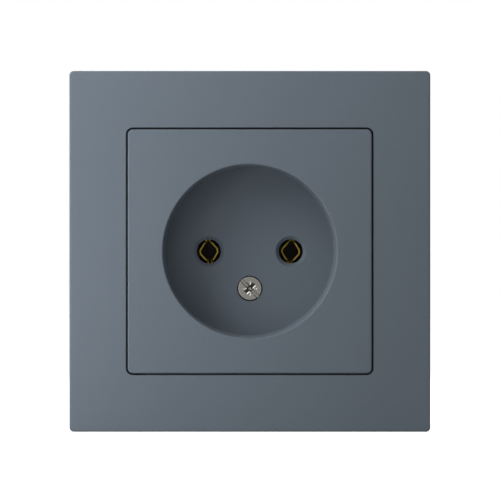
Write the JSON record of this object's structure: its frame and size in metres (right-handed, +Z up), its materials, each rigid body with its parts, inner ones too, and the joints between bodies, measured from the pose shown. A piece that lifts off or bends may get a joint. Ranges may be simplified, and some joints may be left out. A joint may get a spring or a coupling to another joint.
{
  "type": "ungrounded wall socket",
  "caption": "Square flush wall socket without earth: cover frame, front plate with a round plug well, brass pin contacts, screw terminals, and a steel support ring with fixing claws.",
  "frame": {"origin": "on the wall's surface, behind the middle of the plug well and half way between the two box screws", "axes": "+X to the right and +Z up as seen from the room, +Y into the wall, at right angles to it"},
  "size_m": [0.083, 0.0434, 0.083],
  "materials": {
    "slate_plastic": "fine spark-eroded matte, slate grey",
    "black_plastic": "moulded satin, black",
    "contact_brass": "stamped sheet, dull and slightly tarnished",
    "zinc_steel": "zinc-plated sheet",
    "screw_steel": "dull zinc-plated screws",
    "spring_steel": "blackened spring wire and strip"
  },
  "bodies": {
    "socket": {"cover_frame": "slate_plastic", "front_plate": "slate_plastic", "face_screw": "screw_steel", "face_nut": "zinc_steel", "support_ring": "zinc_steel", "base_body": "black_plastic", "contact_cover": "black_plastic", "contact_left": "contact_brass", "contact_right": "contact_brass", "contact_clip_left": "spring_steel", "contact_clip_right": "spring_steel", "claw_screw_left": "screw_steel", "claw_screw_right": "screw_steel", "claw_spring_left": "spring_steel", "claw_spring_right": "spring_steel"},
    "clamp_left": {"terminal_screw_left": "screw_steel", "clamp_plate_left": "zinc_steel"},
    "clamp_right": {"terminal_screw_right": "screw_steel", "clamp_plate_right": "zinc_steel"},
    "claw_left": {"claw_left": "zinc_steel"},
    "claw_right": {"claw_right": "zinc_steel"}
  },
  "joints": [
    {"name": "clamp_slide_left", "type": "slide", "parent": "socket", "child": "clamp_left", "axis": [0, 0, -1], "range_m": [0, 0.0029]},
    {"name": "clamp_slide_right", "type": "slide", "parent": "socket", "child": "clamp_right", "axis": [0, 0, -1], "range_m": [0, 0.0029]},
    {"name": "claw_slide_left", "type": "slide", "parent": "socket", "child": "claw_left", "axis": [-0.5, -0.866, 0], "range_m": [0, 0.007], "stiffness_N_per_m": 590, "springref_m": -0.001, "deforming": ["claw_spring_left"]},
    {"name": "claw_slide_right", "type": "slide", "parent": "socket", "child": "claw_right", "axis": [0.5, -0.866, 0], "range_m": [0, 0.007], "stiffness_N_per_m": 590, "springref_m": -0.001, "deforming": ["claw_spring_right"]}
  ]
}
